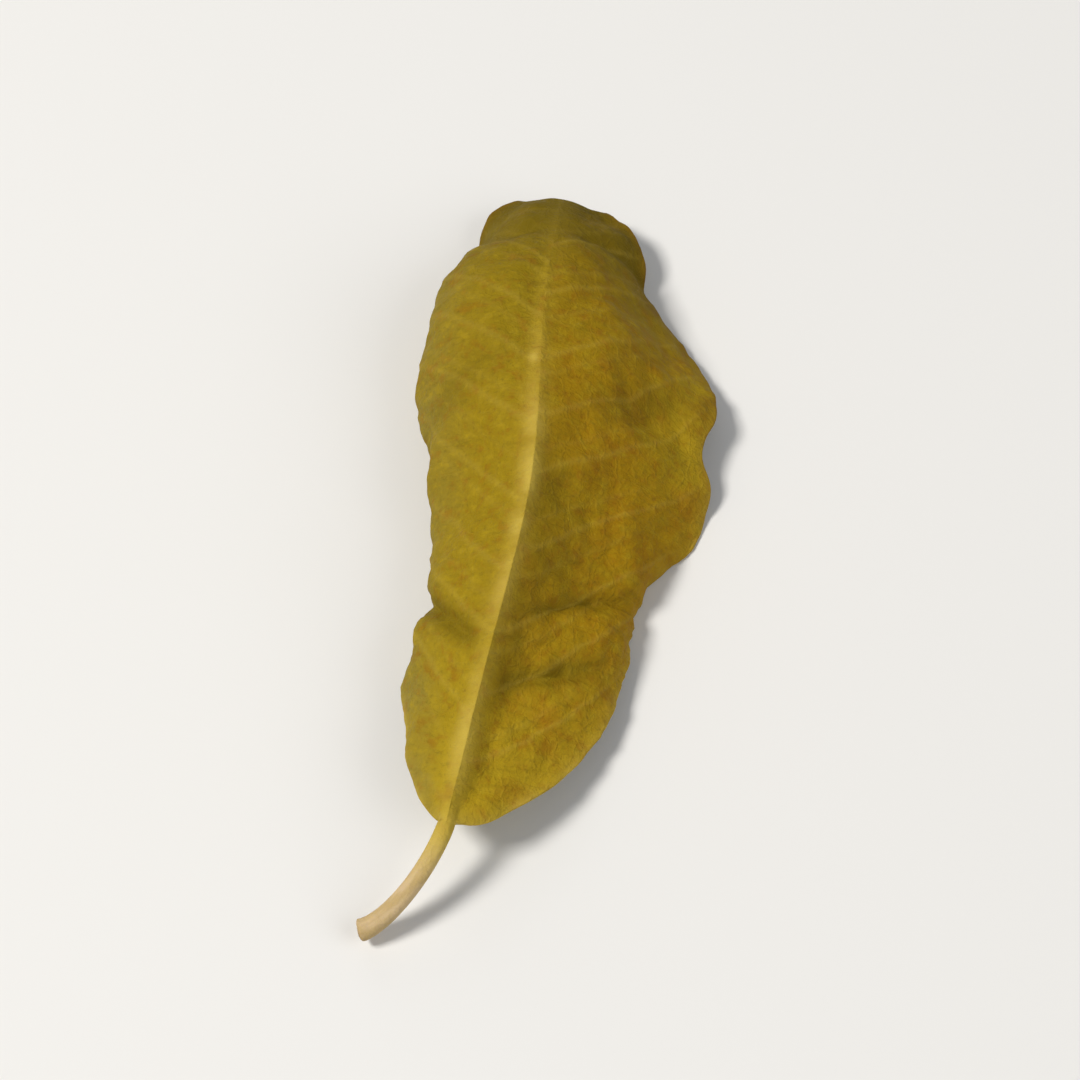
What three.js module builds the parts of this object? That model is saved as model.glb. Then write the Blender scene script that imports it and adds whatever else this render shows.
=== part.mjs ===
// One dried moringa leaflet, lying on a flat surface: a thin blade, its midrib and its short stalk,
// grown as one piece. The midrib is the crest of a low tent, the left half is rolled under itself,
// and the margins touch the surface in several places.
// Millimetres. +Y runs from the stalk to the tip, +X is to the right, +Z is up.
import * as THREE from 'three';
import { mergeVertices } from 'three/addons/utils/BufferGeometryUtils.js';

// Driving dimensions
const BLADE_LENGTH = 18;      // along the midrib, base to tip
const HALF_WIDTH = 4.85;      // midrib to margin at the widest place, laid flat
const LAMINA = 0.2;           // thickness of the blade between its veins
const RIB_RADIUS = 0.2;       // of the stalk, and of the midrib where it enters the blade
const FOOT_RADIUS = 0.27;     // of the stalk's swollen lower end

// The leaf's shape as it dried
const RIB_TAPER = 0.75;       // share of its radius that the midrib loses by the tip
const RIB_BELOW = 0.35;       // how far the midrib stands out below the blade, against above it
const TIP_TAPER = 0.55;       // power by which the blade narrows to its tip: lower is blunter
const TIP_SHARE = 0.99;       // where the width curve is cut off, which leaves the tip blunt
const NOTCH_DEPTH = 0.25;     // of the shallow notch where the midrib ends at the tip
const NOTCH_WIDTH = 0.7;
const NOTCH_FROM = 0.93;      // share of the blade's length at which the surface starts to draw back
const SINK = 0.16;            // how far the lowest places give way as the leaf settles
const SETTLE = 0.06;          // half the height over which a settled place eases into the slope
const PRESSED = 0.04;         // the skin lower than this is pressed flat by the surface

// The midrib and the stalk as cubic Bezier curves, in shares of the blade's length
const atShare = (x, y, z) => new THREE.Vector3(x, y, z).multiplyScalar(BLADE_LENGTH);
const BASE = atShare(0, 0, 0.067);
const MIDRIB = new THREE.CubicBezierCurve3(
  BASE, atShare(0.025, 0.333, 0.144), atShare(0, 0.667, 0.239), atShare(-0.003, 0.961, 0.03));
const STALK = new THREE.CubicBezierCurve3(
  atShare(-0.09, -0.128, -0.006), atShare(-0.062, -0.122, 0), atShare(-0.014, -0.067, 0.045), BASE);

// Each half of the blade falls away from the midrib at these angles in degrees, at even steps from
// base to tip, and its outer part turns down further by the angles of the curl.
const RIGHT = {
  sign: 1,
  baseTaper: 0.6,             // power by which this half narrows to the base
  slope: [22, 28, 30, 30, 30, 29, 27, 27, 30, 32, 22],
  curl: [10, 10, 15, 45, 50, 20, 0, 12, 25, 30, 10],
  curlStart: 0.45,
  fold: 20,                   // extra fall beside the midrib
};
const LEFT = {
  sign: -1,
  baseTaper: 0.8,
  slope: [24, 33, 42, 44, 41, 36, 33, 33, 36, 36, 26],
  curl: [20, 30, 45, 110, 155, 150, 110, 95, 110, 70, 20],
  curlStart: 0.4,
  fold: -10,
};
const FOLD_REACH = 0.18;      // share of the half width that the fold beside the midrib takes

// How finely the surface is divided
const STALK_STEPS = 7;
const BLADE_STEPS = 46;
const SHARES = [0, 0.025, 0.06, 0.12, 0.24, 0.38, 0.52, 0.66, 0.79, 0.9, 0.975, 1];
const COLUMNS = [
  ...SHARES.slice(1).reverse().map((q) => ({ half: LEFT, q })),
  ...SHARES.map((q) => ({ half: RIGHT, q })),
];
const FALL_STEPS = 40;        // for adding up the fall across one half

const { clamp, degToRad, lerp, smoothstep } = THREE.MathUtils;

// A smooth line through values at even steps, read at t from 0 to 1
function through(values, t) {
  const last = values.length - 1;
  const x = clamp(t, 0, 1) * last;
  const i = Math.min(Math.floor(x), last - 1);
  const f = x - i;
  const [a, b, c, d] = [i - 1, i, i + 1, i + 2].map((n) => values[clamp(n, 0, last)]);
  return b + 0.5 * f * (c - a + f * (2 * a - 5 * b + 4 * c - d + f * (3 * (b - c) + d - a)));
}

// Width of one half of the blade, laid flat
function halfWidth(half, t) {
  const widestAt = half.baseTaper / (half.baseTaper + TIP_TAPER);
  const fromBase = (TIP_SHARE * t) / widestAt;
  const toTip = (1 - TIP_SHARE * t) / (1 - widestAt);
  return HALF_WIDTH * fromBase ** half.baseTaper * toTip ** TIP_TAPER;
}

// Angle by which the blade falls at a share q of the way from midrib to margin, in radians
function fallAngle(half, t, q) {
  const fold = half.fold * Math.exp(-((q / FOLD_REACH) ** 2));
  const curl = through(half.curl, t) * smoothstep(q, half.curlStart, 1);
  return degToRad(through(half.slope, t) + fold + curl);
}

// Stations along the leaf, from the stalk's foot to the tip. They lie closer at the blade's ends.
function stations() {
  const list = [];
  for (let i = 0; i < STALK_STEPS; i += 1) {
    const u = i / STALK_STEPS;
    const rib = lerp(RIB_RADIUS, FOOT_RADIUS, (1 - u) ** 3);
    list.push({ curve: STALK, u, t: 0, rib, blade: 0 });
  }
  for (let i = 0; i <= BLADE_STEPS; i += 1) {
    const even = i / BLADE_STEPS;
    const t = lerp(even, 0.5 - 0.5 * Math.cos(Math.PI * even), 0.6);
    const rib = RIB_RADIUS * (1 - RIB_TAPER * t);
    list.push({ curve: MIDRIB, u: t, t, rib, blade: 1 });
  }
  return list;
}

// From the midrib's middle to the margin at a station, laid flat. The stalk is as wide as its rib.
function reach(station, half) {
  return station.rib + station.blade * halfWidth(half, station.t);
}

// One row of points across the leaf at a station, from the left margin to the right one
function middleRow(station) {
  const along = station.curve.getTangent(station.u);
  const side = along.clone().cross(new THREE.Vector3(0, 0, 1)).normalize();
  const up = side.clone().cross(along);
  const crest = station.curve.getPoint(station.u);

  const pointAt = (half, q) => {
    let out = 0;
    let fall = 0;
    for (let n = 0; n < FALL_STEPS; n += 1) {
      const angle = station.blade * fallAngle(half, station.t, (q * (n + 0.5)) / FALL_STEPS);
      out += Math.cos(angle);
      fall += Math.sin(angle);
    }
    const away = q * reach(station, half);
    return crest.clone()
      .addScaledVector(side, (half.sign * out * away) / FALL_STEPS)
      .addScaledVector(up, (-fall * away) / FALL_STEPS)
      .addScaledVector(along, -station.blade * notch(station.t, away));
  };
  return COLUMNS.map(({ half, q }) => pointAt(half, q));
}

// How far the tip is set back at the end of the midrib
function notch(t, away) {
  return NOTCH_DEPTH * smoothstep(t, NOTCH_FROM, 1) * Math.exp(-((2 * away / NOTCH_WIDTH) ** 2));
}

// Half the leaf's thickness at a column: the round midrib and the flat blade, blended
function halfThickness(station, { half, q }, isTop) {
  const width = reach(station, half);
  const away = q * width;
  const stand = isTop ? 1 : lerp(1, RIB_BELOW, station.blade * smoothstep(station.t, 0, 0.08));
  const rib = stand * Math.sqrt(Math.max(station.rib ** 2 - away ** 2, 0));
  const fromMargin = Math.min((width - away) / (LAMINA / 2), 1);
  const lamina = station.blade * (LAMINA / 2) * Math.sqrt(1 - (1 - fromMargin) ** 2);
  return Math.hypot(rib, lamina);
}

// Lowers the leaf until its lowest places rest on the surface and flatten against it. The middle of
// the blade stays half its thickness above the surface.
function settle(rows, places) {
  const skinHeights = rows.map((row, r) => row.map((point, c) => (
    point.z - halfThickness(places[r], COLUMNS[c], false))));
  const lowest = Math.min(...skinHeights.flat());
  rows.forEach((row, r) => row.forEach((point, c) => {
    const height = skinHeights[r][c] - lowest - SINK;
    const eased = (height + SETTLE) ** 2 / (4 * SETTLE);
    const settled = height > SETTLE ? height : height < -SETTLE ? 0 : eased;
    point.z = settled + point.z - skinHeights[r][c];
  }));
}

// Unit normal of the middle surface, from the rows and columns beside a point
function normalAt(rows, r, c) {
  const lastRow = rows.length - 1;
  const lastColumn = rows[0].length - 1;
  const along = rows[Math.min(r + 1, lastRow)][c].clone().sub(rows[Math.max(r - 1, 0)][c]);
  const across = rows[r][Math.min(c + 1, lastColumn)].clone().sub(rows[r][Math.max(c - 1, 0)]);
  return across.cross(along).normalize();
}

// The closed body: an upper and a lower sheet that meet all along the leaf's outline
function leafGeometry() {
  const places = stations();
  const rows = places.map(middleRow);
  settle(rows, places);
  const lastRow = rows.length - 1;
  const lastColumn = COLUMNS.length - 1;

  const sheet = (isTop) => rows.map((row, r) => row.map((point, c) => {
    const offset = r === lastRow ? 0 : halfThickness(places[r], COLUMNS[c], isTop);
    const skin = point.clone().addScaledVector(normalAt(rows, r, c), isTop ? offset : -offset);
    return skin.setZ(skin.z < PRESSED ? 0 : skin.z);
  }));
  const upper = sheet(true);
  const lower = sheet(false);

  const corners = [];
  const face = (a, b, c) => corners.push(...a.toArray(), ...b.toArray(), ...c.toArray());
  const quad = (a, b, c, d) => {
    face(a, b, c);
    face(a, c, d);
  };
  for (let r = 0; r < lastRow; r += 1) {
    for (let c = 0; c < lastColumn; c += 1) {
      quad(upper[r][c], upper[r][c + 1], upper[r + 1][c + 1], upper[r + 1][c]);
      quad(lower[r][c], lower[r + 1][c], lower[r + 1][c + 1], lower[r][c + 1]);
    }
  }
  // the cut face of the stalk's foot
  for (let c = 0; c < lastColumn; c += 1) {
    quad(upper[0][c], lower[0][c], lower[0][c + 1], upper[0][c + 1]);
  }
  return closedGeometry(corners);
}

// Shares the vertices, drops the triangles that have closed up, and centres the base on the origin
function closedGeometry(corners) {
  const loose = new THREE.BufferGeometry();
  loose.setAttribute('position', new THREE.Float32BufferAttribute(corners, 3));
  const merged = mergeVertices(loose, 1e-3);
  const { array } = merged.index;
  const kept = [];
  for (let i = 0; i < array.length; i += 3) {
    const [a, b, c] = [array[i], array[i + 1], array[i + 2]];
    if (a !== b && b !== c && c !== a) kept.push(a, b, c);
  }
  merged.setIndex(kept);
  merged.computeBoundingBox();
  const { min, max } = merged.boundingBox;
  merged.translate(-(min.x + max.x) / 2, -(min.y + max.y) / 2, -min.z);
  merged.computeVertexNormals();
  return merged;
}

const driedLeaf = new THREE.MeshStandardMaterial({ color: 0x9a7f26, roughness: 0.8, metalness: 0 });

const leaf = new THREE.Mesh(leafGeometry(), driedLeaf);
leaf.name = 'leaf';

const moringaLeaf = new THREE.Group();
moringaLeaf.add(leaf);

export default moringaLeaf;
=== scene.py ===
"""The looks of one dried moringa leaflet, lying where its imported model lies. Lengths are in metres."""

import math

import bpy
import numpy as np
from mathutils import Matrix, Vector, noise


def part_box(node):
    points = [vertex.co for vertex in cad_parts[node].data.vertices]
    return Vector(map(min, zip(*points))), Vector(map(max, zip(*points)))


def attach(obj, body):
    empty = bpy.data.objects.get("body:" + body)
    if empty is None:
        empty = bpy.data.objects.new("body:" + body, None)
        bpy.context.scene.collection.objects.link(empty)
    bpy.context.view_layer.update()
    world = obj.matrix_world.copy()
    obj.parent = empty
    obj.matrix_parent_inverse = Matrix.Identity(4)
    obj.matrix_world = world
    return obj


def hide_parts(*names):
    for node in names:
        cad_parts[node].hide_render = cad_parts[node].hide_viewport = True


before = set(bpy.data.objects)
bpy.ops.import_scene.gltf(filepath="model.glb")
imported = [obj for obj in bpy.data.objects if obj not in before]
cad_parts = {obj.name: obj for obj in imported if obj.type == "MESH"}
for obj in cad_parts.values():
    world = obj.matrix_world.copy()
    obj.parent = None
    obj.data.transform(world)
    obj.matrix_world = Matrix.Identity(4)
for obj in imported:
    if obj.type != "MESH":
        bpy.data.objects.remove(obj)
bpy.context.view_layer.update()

bpy.ops.object.select_all(action="DESELECT")


# ------------------------------------------------------------------ the leaf's form
# The leaflet grew as one piece: a papery blade on a midrib that runs down into a short stalk. It
# dried loose, so the midrib stands up as a crest, the left half has rolled under itself, and the
# margins touch the table in several places.
MM = 0.001
BLADE_LENGTH = 18 * MM        # along the midrib, base to tip
HALF_WIDTH = 4.85 * MM        # midrib to margin at the widest place, laid flat
LAMINA = 0.2 * MM             # thickness of the blade between its veins
RIM_THINNING = 0.45           # share of its thickness that the blade loses by the margin
STALK_LENGTH = 3.1 * MM
RIB_RADIUS = 0.2 * MM         # of the stalk, and of the midrib where it enters the blade
FOOT_RADIUS = 0.27 * MM       # of the stalk's swollen lower end
FOOT_ROUNDING = 0.16 * MM     # length over which the foot's end is rounded off
RIB_TAPER = 0.75              # share of its radius that the midrib loses by the tip
RIB_BELOW = 0.35              # how far the midrib stands out below the blade, against above it
RIB_ENDS = 0.97               # share of the blade's length at which the midrib starts to die away
TIP_TAPER = 0.55              # power by which the blade narrows to its tip: lower is blunter
TIP_SHARE = 0.985             # where the width curve is cut off, which leaves the tip blunt
NOTCH_DEPTH = 0.5 * MM        # of the shallow notch where the midrib ends at the tip
NOTCH_WIDTH = 1.9 * MM
NOTCH_FROM = 0.93             # share of the blade's length at which the surface starts to draw back
SINK = 0.05 * MM              # how far the lowest places give way as the leaf settles
SETTLE = 0.06 * MM            # half the height over which a settled place eases into the slope

# The midrib and the stalk as cubic curves, in shares of the blade's length
BASE = (0, 0, 0.067)
MIDRIB = [BASE, (0.025, 0.333, 0.144), (0, 0.667, 0.239), (-0.003, 0.961, 0.03)]
STALK = [(-0.09, -0.128, -0.006), (-0.062, -0.122, 0), (-0.014, -0.067, 0.045), BASE]

# How each half falls away from the midrib, in degrees, at even steps from base to tip. Its margin is
# wider or narrower than a plain curve at each of the bays: where, over what reach, and by what share.
RIGHT = {
    "sign": 1,
    "base_taper": 0.6,
    "slope": [22, 28, 30, 30, 30, 29, 27, 27, 30, 33, 10],
    "curl": [10, 10, 15, 45, 50, 20, 0, 12, 25, 28, 0],
    "curl_start": 0.45,
    "fold": 26,
    "bays": [(0.74, 0.05, 0.03), (0.61, 0.04, -0.12), (0.48, 0.05, 0.03), (0.335, 0.014, -0.03)],
}
LEFT = {
    "sign": -1,
    "base_taper": 0.8,
    "slope": [24, 33, 42, 44, 41, 36, 33, 33, 37, 37, 12],
    "curl": [20, 30, 45, 110, 155, 150, 110, 95, 110, 60, 0],
    "curl_start": 0.4,
    "fold": -10,
    "bays": [(0.74, 0.13, -0.05)],
}
TIP_NICK = (0.9, 0.014, -0.03)
TIP_NECK = 0.16               # share of its width that the blade loses before the tip
TIP_FLARE = 0.06              # and gains again at the tip
RIM_WAVES = 8                 # small waves along each margin
RIM_WAVE_SHARE = 0.018
FOLD_REACH = 0.18             # share of the half width that the fold beside the midrib takes

# How far the crest is levelled off, from 0 for sharp to 1 for level, and over what share of the half
# width, at even steps from base to tip
CREST_SOFTNESS = [0.2, 0.1, 0, 0, 0.1, 0.35, 0.75, 0.95, 1, 1, 0.95]
CREST_REACH = [0.14, 0.14, 0.14, 0.14, 0.15, 0.2, 0.28, 0.36, 0.4, 0.36, 0.3]
CREST_SWAY = 0.4 * MM         # how far the crest lies to the right of the middle, about halfway along
SWAY_AT = 0.44
SWAY_REACH = 0.22

STALK_ROWS = 44
BLADE_ROWS = 254
HALF_COLUMNS = 80


def through(values, t):
    """A smooth line through values at even steps, read at t from 0 to 1."""
    values = np.asarray(values, float)
    last = len(values) - 1
    x = np.clip(t, 0, 1) * last
    i = np.minimum(x.astype(int), last - 1)
    f = x - i
    a, b, c, d = (values[np.clip(i + n, 0, last)] for n in (-1, 0, 1, 2))
    return b + 0.5 * f * (c - a + f * (2 * a - 5 * b + 4 * c - d + f * (3 * (b - c) + d - a)))


def smooth(x, low, high):
    """0 below low, 1 above high, and an even S between them."""
    share = np.clip((x - low) / (high - low), 0, 1)
    return share * share * (3 - 2 * share)


def bump_at(x, centre, width):
    """1 at the centre, falling evenly to nothing on both sides."""
    return np.exp(-(((x - centre) / width) ** 2))


def cubic(points, t):
    """Places and unit directions along a cubic curve given in shares of the blade's length."""
    p = np.asarray(points, float) * BLADE_LENGTH
    t = t[:, None]
    place = (1 - t) ** 3 * p[0] + 3 * (1 - t) ** 2 * t * p[1] + 3 * (1 - t) * t**2 * p[2] + t**3 * p[3]
    along = (1 - t) ** 2 * (p[1] - p[0]) + 2 * (1 - t) * t * (p[2] - p[1]) + t**2 * (p[3] - p[2])
    return place, along / np.linalg.norm(along, axis=1)[:, None]


def crest_sway(t):
    """How far the crest lies to the right of the blade's middle line."""
    return CREST_SWAY * bump_at(t, SWAY_AT, SWAY_REACH) * smooth(t, 0, 0.1)


def half_width(half, t):
    """Width of one half of the blade, laid flat, with its small bays and nicks."""
    widest_at = half["base_taper"] / (half["base_taper"] + TIP_TAPER)
    from_base = TIP_SHARE * t / widest_at
    to_tip = (1 - TIP_SHARE * t) / (1 - widest_at)
    width = HALF_WIDTH * from_base ** half["base_taper"] * to_tip**TIP_TAPER
    waves = [noise.fractal((share * RIM_WAVES, half["sign"] * 3.1, 0.7), 0.9, 2.2, 3) for share in t]
    shape = 1 + RIM_WAVE_SHARE * np.array(waves) * smooth(t, 0.03, 0.12)
    for place, bay_reach, gain in half["bays"] + [TIP_NICK]:
        shape += gain * bump_at(t, place, bay_reach)
    shape += TIP_FLARE * smooth(t, 0.95, 1) - TIP_NECK * smooth(t, 0.8, 0.95)
    return width * shape - half["sign"] * crest_sway(t)


def fall_angle(half, t, q):
    """Angle below level at a share q of the way from the midrib to the margin."""
    fold = half["fold"] * bump_at(q, 0, FOLD_REACH)
    crest = 1 - through(CREST_SOFTNESS, t) * bump_at(q, 0, through(CREST_REACH, t))
    curl = through(half["curl"], t) * smooth(q, half["curl_start"], 1)
    return np.radians((through(half["slope"], t) + fold) * crest + curl)


# rows of points, which lie closer together at the foot and at the blade's ends
stalk_share = np.linspace(0, 1, STALK_ROWS, endpoint=False) ** 1.25
blade_even = np.linspace(0, 1, BLADE_ROWS + 1)
blade_share = 0.7 * blade_even + 0.3 * (0.5 - 0.5 * np.cos(np.pi * blade_even))
stalk_place, stalk_along = cubic(STALK, stalk_share)
blade_place, blade_along = cubic(MIDRIB, blade_share)
crest = np.vstack([stalk_place, blade_place])
along = np.vstack([stalk_along, blade_along])
side = np.cross(along, (0, 0, 1))
side /= np.linalg.norm(side, axis=1)[:, None]
up = np.cross(side, along)
crest[STALK_ROWS:] += side[STALK_ROWS:] * crest_sway(blade_share)[:, None]

in_blade = np.concatenate([np.zeros(STALK_ROWS), np.ones(BLADE_ROWS + 1)])
t_row = np.concatenate([np.zeros(STALK_ROWS), blade_share])
s_row = np.concatenate([(stalk_share - 1) * STALK_LENGTH, blade_share * BLADE_LENGTH])

# the stalk swells to its foot, which broke off with a rounded, slightly ragged end
foot_swell = RIB_RADIUS + (FOOT_RADIUS - RIB_RADIUS) * (1 - stalk_share) ** 3
from_foot = np.clip(stalk_share * STALK_LENGTH / FOOT_ROUNDING, 0, 1)
foot_round = np.maximum(np.sqrt(1 - (1 - from_foot) ** 2), 0.001)
rib = np.concatenate([foot_swell * foot_round, RIB_RADIUS * (1 - RIB_TAPER * blade_share)])

# columns of points, as shares of the way to the margin: closer at the midrib and at the margin
even = np.linspace(0, 1, HALF_COLUMNS + 1)
shares = 0.35 * even + 0.65 * smooth(even, 0, 1)


def half_sheet(half):
    """The middle surface of one half, from the midrib to the margin, and its flat distances."""
    reach = rib.copy()
    reach[STALK_ROWS:] += half_width(half, blade_share)
    angle = in_blade[:, None] * fall_angle(half, t_row[:, None], shares[None, :])
    step = np.diff(shares)[None, :] * reach[:, None]

    def added_up(slope):
        parts = 0.5 * (slope[:, 1:] + slope[:, :-1]) * step
        return np.concatenate([np.zeros((len(t_row), 1)), np.cumsum(parts, axis=1)], axis=1)

    out = half["sign"] * added_up(np.cos(angle))
    fall = added_up(np.sin(angle))
    away = shares[None, :] * reach[:, None]
    notch = NOTCH_DEPTH * smooth(t_row, NOTCH_FROM, 1)[:, None] * bump_at(away, 0, NOTCH_WIDTH / 2)
    sheet = crest[:, None] + side[:, None] * out[..., None] - up[:, None] * fall[..., None]
    sheet -= along[:, None] * (notch * in_blade[:, None])[..., None]
    return sheet, half["sign"] * away, reach


left_sheet, left_away, left_reach = half_sheet(LEFT)
right_sheet, right_away, right_reach = half_sheet(RIGHT)
middle = np.concatenate([left_sheet[:, :0:-1], right_sheet], axis=1)
flat_x = np.concatenate([left_away[:, :0:-1], right_away], axis=1)
columns = flat_x.shape[1]
reach = np.where(np.arange(columns) < HALF_COLUMNS, left_reach[:, None], right_reach[:, None])

# for each point: its place on the leaf laid flat, its share of the blade's length, whether it is in
# the blade, and its distances from the midrib and the margin
flat_s = np.broadcast_to(s_row[:, None], flat_x.shape)
t = np.broadcast_to(t_row[:, None], flat_x.shape)
blade = np.broadcast_to(in_blade[:, None], flat_x.shape)
away = np.abs(flat_x)
to_margin = reach - away


# ------------------------------------------------------------------ veins and drying wrinkles
# Thin side veins leave the midrib and bend forward to the margin. The blade between them shrank as
# it dried, so the veins stand up, and the blade is crumpled, with fine wrinkles across it.
VEIN_SPACING = 1.75 * MM      # between the main veins of one side
VEIN_PAIRS = 9
VEIN_START = 0.75 * MM        # from the blade's base to the first pair
VEIN_JITTER = 0.22 * MM
VEIN_STAGGER = 0.12           # how far the two sides are out of step, as a share of the spacing
VEIN_BEND = (0.66, 0.035, 0.006)    # towards the tip, by the distance, its square and its cube
VEIN_WOBBLE = 0.09 * MM
VEIN_HALF_WIDTH = 0.06 * MM
VEIN_HEIGHT = 0.016 * MM
BETWEEN_STRENGTH = 0.45       # of the thinner veins between the main ones
QUILT_REACH = 0.5 * MM        # how far from a vein the blade is drawn up
QUILT_HEIGHT = 0.05 * MM

# The crumpled surface in millimetres: how high, how wide and how long its bumps are, and their seed
CRUMPLES = [(0.32, 3.2, 4.0, 2.1), (0.12, 1.2, 1.5, 5.7), (0.03, 0.45, 0.5, 9.2)]
CROSS_WRINKLE_HEIGHT = 0.075
CRISP_RIM_HEIGHT = 0.08
STIFF_REACH = 0.5 * MM        # this near the midrib the blade is too stiff to crumple


def grain(across, lengthways, seed, octaves=2):
    """Noise over the leaf laid flat. Its patches are this many millimetres wide and long."""
    places = zip((flat_x / MM / across).flat, (flat_s / MM / lengthways).flat)
    values = [noise.fractal((x, s, seed), 0.9, 2.1, octaves) for x, s in places]
    return np.array(values).reshape(flat_x.shape)


vein_wobble = VEIN_WOBBLE * grain(0.9, 0.9, 11.3)
mm_away = away / MM
bend = (VEIN_BEND[0] * mm_away + VEIN_BEND[1] * mm_away**2 + VEIN_BEND[2] * mm_away**3) * MM
slant = VEIN_BEND[0] + 2 * VEIN_BEND[1] * mm_away + 3 * VEIN_BEND[2] * mm_away**2
vein_width = VEIN_HALF_WIDTH * (1.25 - 0.5 * away / reach)
fine_vein = np.zeros(flat_x.shape)
quilt = np.zeros(flat_x.shape)
for number in range(2 * VEIN_PAIRS):
    is_main = number % 2 == 0
    strength = 1.0 if is_main else BETWEEN_STRENGTH
    fade = smooth(to_margin, 0, 0.9 * MM)
    if not is_main:
        fade = fade * (1 - smooth(away, 0.5 * reach, 0.8 * reach))
    for side_sign in (-1, 1):
        jitter = VEIN_JITTER * math.sin(2.3 * number + 1.9 * side_sign)
        stagger = VEIN_STAGGER * side_sign * VEIN_SPACING
        start = VEIN_START + 0.5 * VEIN_SPACING * number + jitter + stagger
        distance = (flat_s - start - bend + vein_wobble) / np.sqrt(1 + slant**2)
        own_side = (flat_x * side_sign >= 0) * blade * strength * fade
        fine_vein = np.maximum(fine_vein, own_side * bump_at(distance, 0, vein_width))
        if is_main:
            uneven = 0.3 + 0.7 * abs(math.sin(1.7 * number + 0.8 * side_sign))
            quilt = np.maximum(quilt, uneven * own_side * bump_at(distance, 0, QUILT_REACH))

soft_blade = 1 - 0.88 * bump_at(away, 0, STIFF_REACH)
near_rim = np.exp(-to_margin / (0.7 * MM))
crumple = sum(high * grain(wide, long, seed) for high, wide, long, seed in CRUMPLES)
cross_strength = 0.2 + 0.8 * bump_at(t, 0.27, 0.16) * np.where(flat_x > 0, 1, 0.4)
cross_wrinkles = CROSS_WRINKLE_HEIGHT * cross_strength * grain(1.9, 0.26, 7.9)
crisp_rim = CRISP_RIM_HEIGHT * near_rim * grain(1.8, 1.6, 3.3)
relief = soft_blade * (crumple + cross_wrinkles) * MM + crisp_rim * MM
relief += QUILT_HEIGHT * soft_blade * (quilt - 0.5) * smooth(to_margin, 0, 1.2 * MM)

# The deeper creases in millimetres: where each starts and ends on the leaf laid flat, as the distance
# to the right of the midrib and along it from the base, and then its depth and its half width
CREASES = [
    ((-3.9, 5.8), (-0.4, 4.1), 0.3, 0.3),
    ((0.5, 3.3), (3.0, 4.2), 0.22, 0.28),
    ((0.7, 5.0), (3.3, 6.1), 0.16, 0.22),
    ((-1.9, 15.7), (2.3, 16.2), 0.2, 0.32),
    ((1.2, 10.6), (4.4, 12.3), 0.09, 0.45),
    ((-3.4, 9.8), (-1.0, 11.6), 0.09, 0.5),
]
crease_depth = np.zeros(flat_x.shape)
for start, end, depth, width_mm in CREASES:
    start = np.array(start) * MM
    run = np.array(end) * MM - start
    from_x, from_s = flat_x - start[0], flat_s - start[1]
    share = np.clip((from_x * run[0] + from_s * run[1]) / (run @ run), 0, 1)
    aside = np.hypot(from_x - share * run[0], from_s - share * run[1]) + 0.6 * vein_wobble
    taper = np.sin(np.pi * (0.15 + 0.7 * share))
    crease_depth += depth * MM * taper * soft_blade * bump_at(aside, 0, width_mm * MM)
relief -= crease_depth
relief *= blade * smooth(flat_s, 0, 0.8 * MM)


def normals_of(surface):
    """Unit normals of a sheet of points, from the rows and columns beside each one."""
    across = np.gradient(surface, axis=1)
    lengthways = np.gradient(surface, axis=0)
    normal = np.cross(across, lengthways)
    return normal / np.maximum(np.linalg.norm(normal, axis=2)[..., None], 1e-12)


def lifts_of(surface):
    """The way the skins lie off the sheet: square to it, and straight up off the midrib's crest."""
    by_crest = bump_at(away, 0, 0.3 * MM)[..., None] * blade[..., None]
    blended = normals_of(surface) * (1 - by_crest) + up[:, None] * by_crest
    return blended / np.linalg.norm(blended, axis=2)[..., None]


middle = middle + lifts_of(middle) * relief[..., None]

# Half thickness of the round midrib and stalk, blended into the flat blade
stalk_grain = 1 + 0.07 * grain(0.2, 1.1, 4.4) * (1 - blade)
round_rib = np.sqrt(np.maximum(rib[:, None] ** 2 - away**2, 0)) * stalk_grain
edge = LAMINA / 2 * (1 - RIM_THINNING * smooth(away / reach, 0.3, 1))
from_margin = np.clip(to_margin / edge, 0, 1)
from_tip = np.clip((BLADE_LENGTH - flat_s) / (LAMINA / 2), 0, 1)
roundness = np.sqrt(1 - (1 - from_margin) ** 2) * np.sqrt(1 - (1 - from_tip) ** 2)
flat_blade = blade * edge * roundness
rib_end = 1 - smooth(t, RIB_ENDS, 1)
past_base = smooth(flat_s, -0.2 * MM, 1.2 * MM)
rib_fade = 1 - 0.5 * smooth(t, 0.4, 0.9)
soft_rib = 0.62 * rib[:, None] * bump_at(away, 0, 1.5 * rib[:, None]) * rib_fade
rib_above = round_rib * (1 - past_base)
rib_below = round_rib * (1 + (RIB_BELOW - 1) * blade * smooth(t, 0, 0.08)) * rib_end
vein_above = VEIN_HEIGHT * fine_vein * roundness
upper_half = np.hypot(rib_above, flat_blade) + soft_rib * rib_end * past_base + vein_above
lower_half = np.hypot(rib_below, flat_blade) - 0.3 * vein_above

# The lowest place of each half above the table, in millimetres at even steps from base to tip. The
# leaf rests on its rolled margin beyond the middle, on its left lobe and on its right margin.
LEFT_LOWEST = [
    1.41, 1.43, 1.15, 0.9, 0.62, 0.29, 0.04, 0.04, 0.25, 0.51, 0.59,
    0.42, 0.13, 0, 0, 0, 0, 0, 0.06, 0.44, 0.68,
]
RIGHT_LOWEST = [
    1.43, 1.15, 0.83, 0.65, 0.52, 0.39, 0.15, 0, 0, 0, 0,
    0.38, 0.75, 0.87, 0.71, 0.44, 0.28, 0.22, 0.36, 0.52, 0.7,
]
EVENED_ROWS = 6               # the lowering is evened out over about this many rows to each side
LOOSE_TIP = 0.8               # share of the lowering that the tip is free of

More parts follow.
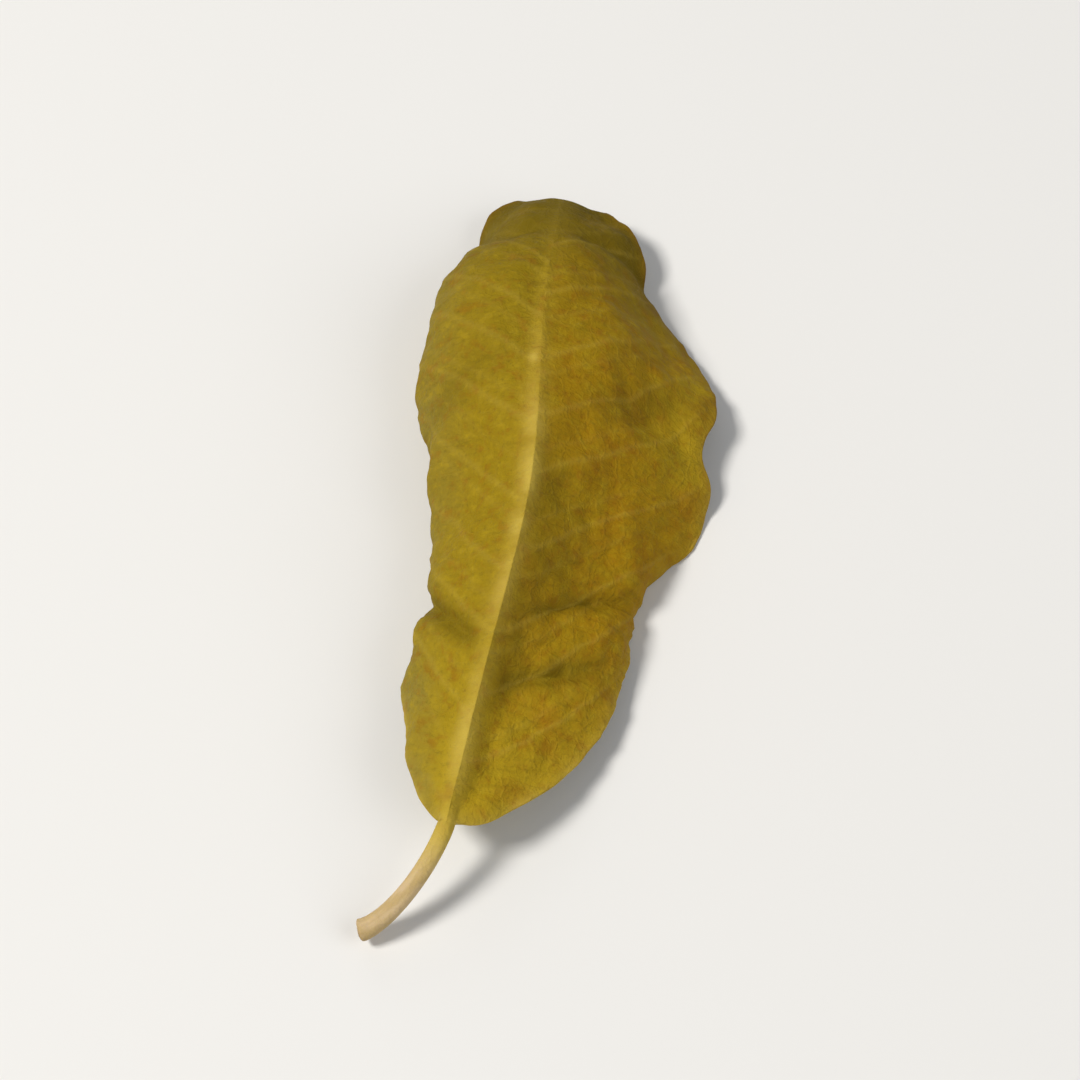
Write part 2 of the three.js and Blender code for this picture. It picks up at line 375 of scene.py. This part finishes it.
row_steps = np.arange(-3 * EVENED_ROWS, 3 * EVENED_ROWS + 1)
row_weights = bump_at(row_steps, 0, EVENED_ROWS)
row_weights /= row_weights.sum()
packed_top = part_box("leaf")[1][2]
middle[..., 2] += packed_top - (middle[..., 2] + upper_half).max()
for own_half, lowest in ((flat_x <= 0, LEFT_LOWEST), (flat_x >= 0, RIGHT_LOWEST)):
    hold = smooth(away / reach, 0.1, 0.85) * own_half * blade * (1 - LOOSE_TIP * smooth(t, 0.84, 0.95))
    for _ in range(3):
        under_half = np.where(own_half, middle[..., 2] - lower_half, np.inf)
        too_high = under_half.min(axis=1) - through(lowest, t_row) * MM
        padded = np.pad(too_high, 3 * EVENED_ROWS, mode="edge")
        middle[..., 2] -= np.convolve(padded, row_weights, mode="valid")[:, None] * hold

# Where it touches, the skin is pressed flat
height = middle[..., 2] - lower_half - SINK
eased = (height + SETTLE) ** 2 / (4 * SETTLE)
settled = np.where(height > SETTLE, height, np.where(height < -SETTLE, 0, eased))
middle[..., 2] = settled + lower_half
normal = lifts_of(middle)
upper_skin = middle + normal * upper_half[..., None]
lower_skin = middle - normal * lower_half[..., None]
lower_skin[..., 2] = np.maximum(lower_skin[..., 2], 0)
upper_skin[..., 2] = np.maximum(upper_skin[..., 2], 0)


# ------------------------------------------------------------------ the leaf's mesh
# A flat sheet is wrapped round the form, over the upper skin and back under the lower one, and its
# edges are merged, so the leaf is one closed piece.
def wrapped(upper, lower):
    """One value for each place round the leaf: the upper skin, and then the lower one backwards."""
    return np.concatenate([upper, lower[:, -2::-1]], axis=1)


def on_both(values):
    """The same values on the upper and the lower skin."""
    return wrapped(values, values)


def on_top(values):
    """Values on the upper skin, and nothing on the lower one."""
    return wrapped(values, np.zeros(values.shape))


ring = wrapped(upper_skin, lower_skin)
rows, round_columns = ring.shape[:2]
bpy.ops.mesh.primitive_grid_add(
    x_subdivisions=round_columns - 1, y_subdivisions=rows - 1, size=1, calc_uvs=True
)
leaf = bpy.context.object
leaf.name = "dried_leaf"
mesh = leaf.data
mesh.name = "dried_leaf"

flat = np.empty(3 * len(mesh.vertices))
mesh.vertices.foreach_get("co", flat)
flat = flat.reshape(-1, 3)
column_of = np.rint((flat[:, 0] + 0.5) * (round_columns - 1)).astype(int)
row_of = np.rint((flat[:, 1] + 0.5) * (rows - 1)).astype(int)
placed = ring[row_of, column_of]
packed_low, packed_high = (np.array(corner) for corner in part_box("leaf"))
centre_shift = (packed_low + packed_high) / 2 - (placed.min(0) + placed.max(0)) / 2
centre_shift[2] = packed_low[2] - placed[:, 2].min()
mesh.vertices.foreach_set("co", (placed + centre_shift).ravel())

# the leaf laid flat, as its UV map: the lower skin lies beside the upper one
SHEET_SIZE = 40 * MM
UPPER_PLACE = 8 * MM
LOWER_PLACE = 28 * MM
FOOT_PLACE = 5 * MM
flat_u = wrapped(flat_x + UPPER_PLACE, flat_x + LOWER_PLACE) / SHEET_SIZE
flat_v = on_both(flat_s + FOOT_PLACE) / SHEET_SIZE
corner_vertex = np.empty(len(mesh.loops), int)
mesh.loops.foreach_get("vertex_index", corner_vertex)
uv = np.stack([flat_u[row_of, column_of], flat_v[row_of, column_of]], axis=1)[corner_vertex]
mesh.uv_layers[0].name = "laid_flat"
mesh.uv_layers[0].data.foreach_set("uv", uv.ravel())

# What the finish follows, each from 0 to 1: the midrib's paleness at even steps from base to tip,
# partly its own colour and partly a painted highlight on its crest, a band of painted shade to the right
# of it, a pale fleck on it, and the width of the rim and of the foot's end
RIB_PALENESS_AND_HIGHLIGHT = [0.5, 0.9, 0.5, 0.75, 0.95, 0.9, 0.55, 0.15, 0.1, 0.08, 0.05]
RIB_LINE_WIDTH = 0.25 * MM
SHADE_BAND_PLACE = 0.6 * MM
SHADE_BAND_WIDTH = 0.42 * MM
FLECK_PLACE = (-0.16 * MM, 11.3 * MM)
FLECK_SIZE = 0.1 * MM
RIM_WIDTH = 0.16 * MM
FOOT_END = 0.09 * MM
FULL_CREASE_SHADE = 0.12 * MM

pale_rib_and_highlight = bump_at(flat_x, -0.05 * MM, RIB_LINE_WIDTH) * through(RIB_PALENESS_AND_HIGHLIGHT, t)
painted_shade_band = bump_at(flat_x, SHADE_BAND_PLACE, SHADE_BAND_WIDTH) * smooth(t, 0.12, 0.25) * (1 - smooth(t, 0.42, 0.66))
from_fleck = np.hypot(flat_x - FLECK_PLACE[0], 0.7 * (flat_s - FLECK_PLACE[1]))
# the midrib's mark is partly a painted highlight, and the marks of the band beside it and of the creases
# are painted shade
marks = {
    "lower_skin": wrapped(np.zeros(flat_x.shape), np.ones(flat_x.shape)),
    "stalk": on_both(1 - smooth(flat_s, -0.6 * MM, 0.5 * MM)),
    "rib": on_both(pale_rib_and_highlight),
    "fleck": on_top(bump_at(from_fleck, 0, FLECK_SIZE)),
    "joint": on_both(smooth(flat_s, -1.5 * MM, 0)),
    "foot": on_both(bump_at(flat_s, -STALK_LENGTH, FOOT_END)),
    "painted_shade_band": on_top(painted_shade_band),
    "crease_shade": on_both(np.clip(crease_depth / FULL_CREASE_SHADE, 0, 1)),
    "vein": on_both(fine_vein),
    "rim": on_both(np.exp(-to_margin / RIM_WIDTH) * blade),
    "lengthways": on_both(t),
    "sideways": on_both(0.5 + 0.5 * flat_x / reach),
}
for name, values in marks.items():
    layer = mesh.attributes.new(name, "FLOAT", "POINT")
    layer.data.foreach_set("value", values[row_of, column_of])

MERGE_DISTANCE = 0.0005 * MM
LEAST_EDGE = 0.0001 * MM

bpy.ops.object.mode_set(mode="EDIT")
bpy.ops.mesh.select_all(action="SELECT")
bpy.ops.mesh.remove_doubles(threshold=MERGE_DISTANCE)
bpy.ops.mesh.dissolve_degenerate(threshold=LEAST_EDGE)
bpy.ops.mesh.normals_make_consistent(inside=False)
bpy.ops.object.mode_set(mode="OBJECT")
bpy.ops.object.shade_smooth()
leaf.select_set(False)


# ------------------------------------------------------------------ the dried finish
# Olive gold where the green has faded, paler on the ribs, brown in blotches, with a straw-coloured
# stalk. Painted shade darkens the upper end, the tip, the creases and a band beside the midrib; painted
# light adds to the yellow of the base and the right margin and to the pale midrib. The skin is matt,
# with a net of the finest veins pressed into it.
OLIVE_GOLD = (0.28, 0.188, 0.006, 1)
OCHRE = (0.335, 0.187, 0.004, 1)
# The next yellow is partly painted light, the olive after it is painted shade, and the brown after that
# is both real brown and painted shade.
YELLOW_AND_LIGHT = (0.4, 0.275, 0.012, 1)
SHADED_UPPER_OLIVE = (0.215, 0.148, 0.006, 1)
BROWN_AND_SHADE = (0.14, 0.095, 0.004, 1)
RUST = (0.26, 0.105, 0.004, 1)
GREY_OLIVE = (0.21, 0.172, 0.035, 1)
STRAW = (0.52, 0.375, 0.06, 1)
STALK_TAN = (0.58, 0.43, 0.235, 1)
STALK_BUFF = (0.46, 0.325, 0.13, 1)
STALK_BROWN = (0.3, 0.18, 0.07, 1)
LOWER_OLIVE = (0.3, 0.255, 0.07, 1)
RIM_BROWN = (0.2, 0.1, 0.01, 1)

finish = bpy.data.materials.new("dried_leaf_finish")
finish.use_nodes = True
nodes = finish.node_tree.nodes
links = finish.node_tree.links
shader = nodes["Principled BSDF"]


def node(kind, inputs=None, **settings):
    """Adds a shader node. An input is given as a number, a colour or another node's output."""
    made = nodes.new(kind)
    for setting, value in settings.items():
        setattr(made, setting, value)
    for socket, value in (inputs or {}).items():
        if isinstance(value, bpy.types.NodeSocket):
            links.new(value, made.inputs[socket])
        else:
            made.inputs[socket].default_value = value
    return made


def mark(name):
    """One of the leaf's marks, from 0 to 1."""
    return node("ShaderNodeAttribute", attribute_name=name).outputs["Fac"]


def times(a, b):
    return node("ShaderNodeMath", {0: a, 1: b}, operation="MULTIPLY").outputs[0]


def plus(a, b):
    return node("ShaderNodeMath", {0: a, 1: b}, operation="ADD").outputs[0]


def spread(value, low, high, to_low=0.0, to_high=1.0):
    """Eases a value from to_low to to_high as it goes from low to high."""
    inputs = {"Value": value, "From Min": low, "From Max": high, "To Min": to_low, "To Max": to_high}
    made = node("ShaderNodeMapRange", inputs, interpolation_type="SMOOTHSTEP")
    return made.outputs["Result"]


def blend(amount, under, over):
    """Lays one colour over another by an amount from 0 to 1."""
    made = node("ShaderNodeMix", data_type="RGBA")
    for name, value in {"Factor": amount, "A": under, "B": over}.items():
        socket = next(s for s in made.inputs if s.name == name and s.enabled)
        if isinstance(value, bpy.types.NodeSocket):
            links.new(value, socket)
        else:
            socket.default_value = value
    return next(s for s in made.outputs if s.enabled)


laid_flat = node("ShaderNodeUVMap", uv_map="laid_flat").outputs["UV"]
sheet_mm = SHEET_SIZE / MM
on_leaf = node("ShaderNodeMapping", {"Vector": laid_flat, "Scale": 3 * (sheet_mm,)}).outputs["Vector"]


def mottle(scale, detail=3.0, roughness=0.55, stretch=(1, 1, 1)):
    """Uneven patches over the leaf, about this many to the millimetre."""
    stretched = node("ShaderNodeMapping", {"Vector": on_leaf, "Scale": stretch}).outputs["Vector"]
    inputs = {"Vector": stretched, "Scale": scale, "Detail": detail, "Roughness": roughness}
    return node("ShaderNodeTexNoise", inputs).outputs["Fac"]


WARP = 0.55                   # how far the net of veins strays from a plain one, in millimetres
warp = node("ShaderNodeTexNoise", {"Vector": on_leaf, "Scale": 2.2, "Detail": 2.0}).outputs["Color"]
warp_scaled = node("ShaderNodeVectorMath", {0: warp, "Scale": WARP}, operation="SCALE").outputs[0]
warped = node("ShaderNodeVectorMath", {0: on_leaf, 1: warp_scaled}, operation="ADD").outputs[0]


def net(cells_per_mm, line):
    """Lines between uneven cells, such as the leaf's finest veins: 1 on a line and 0 inside a cell."""
    inputs = {"Vector": warped, "Scale": cells_per_mm, "Randomness": 0.9}
    cells = node("ShaderNodeTexVoronoi", inputs, feature="DISTANCE_TO_EDGE", voronoi_dimensions="2D")
    return spread(cells.outputs["Distance"], 0.0, line, 1.0, 0.0)


wide_net = net(1.9, 0.12)
fine_net = net(5.2, 0.2)
broad_mottle = mottle(0.36, 4.0)
patch_mottle = mottle(0.95, 4.0)
small_mottle = mottle(2.6, 3.0, 0.6)
speckle = mottle(8.0, 3.0, 0.65)
streaks = mottle(1.0, 4.0, 0.6, (1.1, 4.6, 1))

# the ground colour: ochre on the right half; yellower to the base, partly its own colour and partly
# painted light where the lower half faces the light; and painted shade, darker to the upper end, where
# it turns away from the light
sideways = mark("sideways")
lengthways = mark("lengthways")
skin = blend(spread(sideways, 0.42, 0.6), OLIVE_GOLD, OCHRE)
skin = blend(spread(broad_mottle, 0.45, 0.7, 0.0, 0.55), skin, OLIVE_GOLD)
yellow_and_lit_base = times(spread(lengthways, 0.0, 0.34, 0.8, 0.0), spread(sideways, 0.1, 0.45, 0.55, 1.0))
skin = blend(yellow_and_lit_base, skin, YELLOW_AND_LIGHT)
skin = blend(spread(lengthways, 0.5, 0.8, 0.0, 0.5), skin, SHADED_UPPER_OLIVE)

# a golden place on the right margin, partly its own colour and partly painted light where the margin
# turns up to the light, rust on the right and a grey bloom on the left
gold_and_lit_place = times(spread(lengthways, 0.4, 0.6), spread(lengthways, 0.85, 0.7))
gold_and_lit_place = times(gold_and_lit_place, spread(sideways, 0.75, 0.95, 0.0, 0.6))
skin = blend(gold_and_lit_place, skin, YELLOW_AND_LIGHT)
rust_place = times(spread(sideways, 0.5, 0.9), spread(patch_mottle, 0.48, 0.68))
skin = blend(times(rust_place, 0.5), skin, RUST)
grey_place = times(spread(sideways, 0.36, 0.14), spread(broad_mottle, 0.3, 0.6, 0.3, 1.0))
skin = blend(times(grey_place, 0.75), skin, GREY_OLIVE)

# blotches, streaks and specks
skin = blend(spread(small_mottle, 0.5, 0.7, 0.0, 0.5), skin, RUST)
skin = blend(spread(small_mottle, 0.48, 0.3, 0.0, 0.45), skin, YELLOW_AND_LIGHT)
skin = blend(spread(streaks, 0.52, 0.75, 0.0, 0.3), skin, BROWN_AND_SHADE)
skin = blend(spread(speckle, 0.52, 0.75, 0.0, 0.4), skin, YELLOW_AND_LIGHT)
skin = blend(spread(speckle, 0.48, 0.28, 0.0, 0.4), skin, BROWN_AND_SHADE)

# painted shade: darker at the tip, where it turns away from the light, in the creases, and in a band
# beside the midrib, where the crest shades the blade
tip_shade_share = times(spread(lengthways, 0.74, 0.96), spread(patch_mottle, 0.3, 0.6, 0.6, 1.0))
skin = blend(tip_shade_share, skin, BROWN_AND_SHADE)
skin = blend(times(mark("crease_shade"), 0.5), skin, BROWN_AND_SHADE)
skin = blend(times(mark("painted_shade_band"), 0.45), skin, BROWN_AND_SHADE)

# the veins, the underside, the midrib, paler partly in its own colour and partly as a painted highlight
# on its crest, and the rim
skin = blend(times(wide_net, 0.035), skin, STRAW)
skin = blend(times(fine_net, 0.05), skin, BROWN_AND_SHADE)
skin = blend(times(mark("vein"), 0.16), skin, STRAW)
skin = blend(times(mark("lower_skin"), 0.75), skin, LOWER_OLIVE)
skin = blend(times(mark("rib"), spread(patch_mottle, 0.35, 0.65, 0.35, 0.95)), skin, STRAW)
skin = blend(times(mark("fleck"), 0.8), skin, STRAW)
rim_tone = blend(spread(lengthways, 0.75, 0.35), RIM_BROWN, STRAW)
skin = blend(times(mark("rim"), spread(patch_mottle, 0.35, 0.6, 0.3, 0.75)), skin, rim_tone)

# the stalk, straw-coloured at the joint and brown where its foot broke off
stalk_streaks = spread(mottle(3.0, 3.0, 0.6, (2, 0.35, 1)), 0.35, 0.65, 0.0, 0.7)
stalk_tone = blend(stalk_streaks, STALK_TAN, STALK_BUFF)
stalk_tone = blend(mark("joint"), stalk_tone, STRAW)
stalk_tone = blend(mark("foot"), stalk_tone, STALK_BROWN)
skin = blend(mark("stalk"), skin, stalk_tone)
links.new(skin, shader.inputs["Base Color"])

# a matt surface that lets a little light through, roughened by the net, the specks and the streaks
links.new(spread(speckle, 0.3, 0.7, 0.6, 0.8), shader.inputs["Roughness"])
shader.inputs["Specular IOR Level"].default_value = 0.06
shader.inputs["Subsurface Weight"].default_value = 0.12
shader.inputs["Subsurface Radius"].default_value = (0.6, 0.42, 0.1)
shader.inputs["Subsurface Scale"].default_value = 0.25 * MM

ROUGH_HEIGHT = 0.035 * MM
raised = plus(times(wide_net, 0.35), times(fine_net, 0.25))
raised = plus(raised, speckle)
raised = plus(raised, times(mottle(18.0, 2.0, 0.6), 0.4))
raised = plus(raised, times(streaks, 1.4))
bump = node("ShaderNodeBump", {"Height": raised, "Strength": 0.55, "Distance": ROUGH_HEIGHT})
links.new(bump.outputs["Normal"], shader.inputs["Normal"])

mesh.materials.clear()
mesh.materials.append(finish)

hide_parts("leaf")
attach(leaf, "root")


# ------------------------------------------------------------------ the table
# A plain pale sheet of matt card, wide enough to fill the view from any side. It lies just below the
# leaf, so that the two surfaces don't meet.
TABLE_SIZE = 2.0
TABLE_GAP = 0.004 * MM
CARD = (0.78, 0.77, 0.74, 1)

bpy.ops.mesh.primitive_plane_add(size=TABLE_SIZE, location=(0, 0, -TABLE_GAP))
table = bpy.context.object
table.name = "table"
table_finish = bpy.data.materials.new("pale_table")
table_finish.use_nodes = True
table_shader = table_finish.node_tree.nodes["Principled BSDF"]
table_shader.inputs["Base Color"].default_value = CARD
table_shader.inputs["Roughness"].default_value = 0.9
table_shader.inputs["Specular IOR Level"].default_value = 0.2
table.data.materials.append(table_finish)
table.select_set(False)


# ------------------------------------------------------------------ lights and camera
# A soft key light stands high on the left, a wider and weaker one on the right, and a faint one beyond
# the tip. The camera looks down on the leaf from beyond its stalk, a little to the right.
leaf_low, leaf_high = (Vector(corner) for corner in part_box("leaf"))
leaf_centre = (leaf_low + leaf_high) / 2


def soft_light(name, direction, distance, size, power, colour):
    """A square light that faces the leaf from a direction."""
    place = leaf_centre + Vector(direction).normalized() * distance
    bpy.ops.object.light_add(type="AREA", location=place)
    light = bpy.context.object
    light.name = name
    light.rotation_euler = (leaf_centre - place).to_track_quat("-Z", "Y").to_euler()
    light.data.size = size
    light.data.energy = power
    light.data.color = colour
    light.select_set(False)


soft_light(
    "key_light",
    direction=(-0.62, -0.2, 0.92), distance=0.3, size=0.08, power=0.8, colour=(1, 0.975, 0.94),
)
soft_light(
    "fill_light",
    direction=(0.9, -0.3, 0.8), distance=0.35, size=0.25, power=0.36, colour=(0.97, 0.98, 1),
)
soft_light(
    "back_light",
    direction=(-0.4, 1.0, 0.5), distance=0.35, size=0.2, power=0.1, colour=(1, 0.98, 0.95),
)

world = bpy.data.worlds.new("studio")
bpy.context.scene.world = world
world.use_nodes = True
background = world.node_tree.nodes["Background"]
background.inputs["Color"].default_value = (0.9, 0.93, 1, 1)
background.inputs["Strength"].default_value = 0.24

CAMERA_AZIMUTH = math.radians(9)
CAMERA_ELEVATION = math.radians(60)
CAMERA_DISTANCE = 92 * MM
view_direction = Vector((
    math.sin(CAMERA_AZIMUTH) * math.cos(CAMERA_ELEVATION),
    -math.cos(CAMERA_AZIMUTH) * math.cos(CAMERA_ELEVATION),
    math.sin(CAMERA_ELEVATION),
))
bpy.ops.object.camera_add(location=leaf_centre + view_direction * CAMERA_DISTANCE)
camera = bpy.context.object
camera.name = "camera"
camera.rotation_euler = (-view_direction).to_track_quat("-Z", "Y").to_euler()
camera.data.lens = 135
camera.data.clip_start = 1 * MM
camera.data.clip_end = 5 * TABLE_SIZE
camera.select_set(False)
bpy.context.scene.camera = camera
bpy.context.scene.view_settings.view_transform = "Standard"
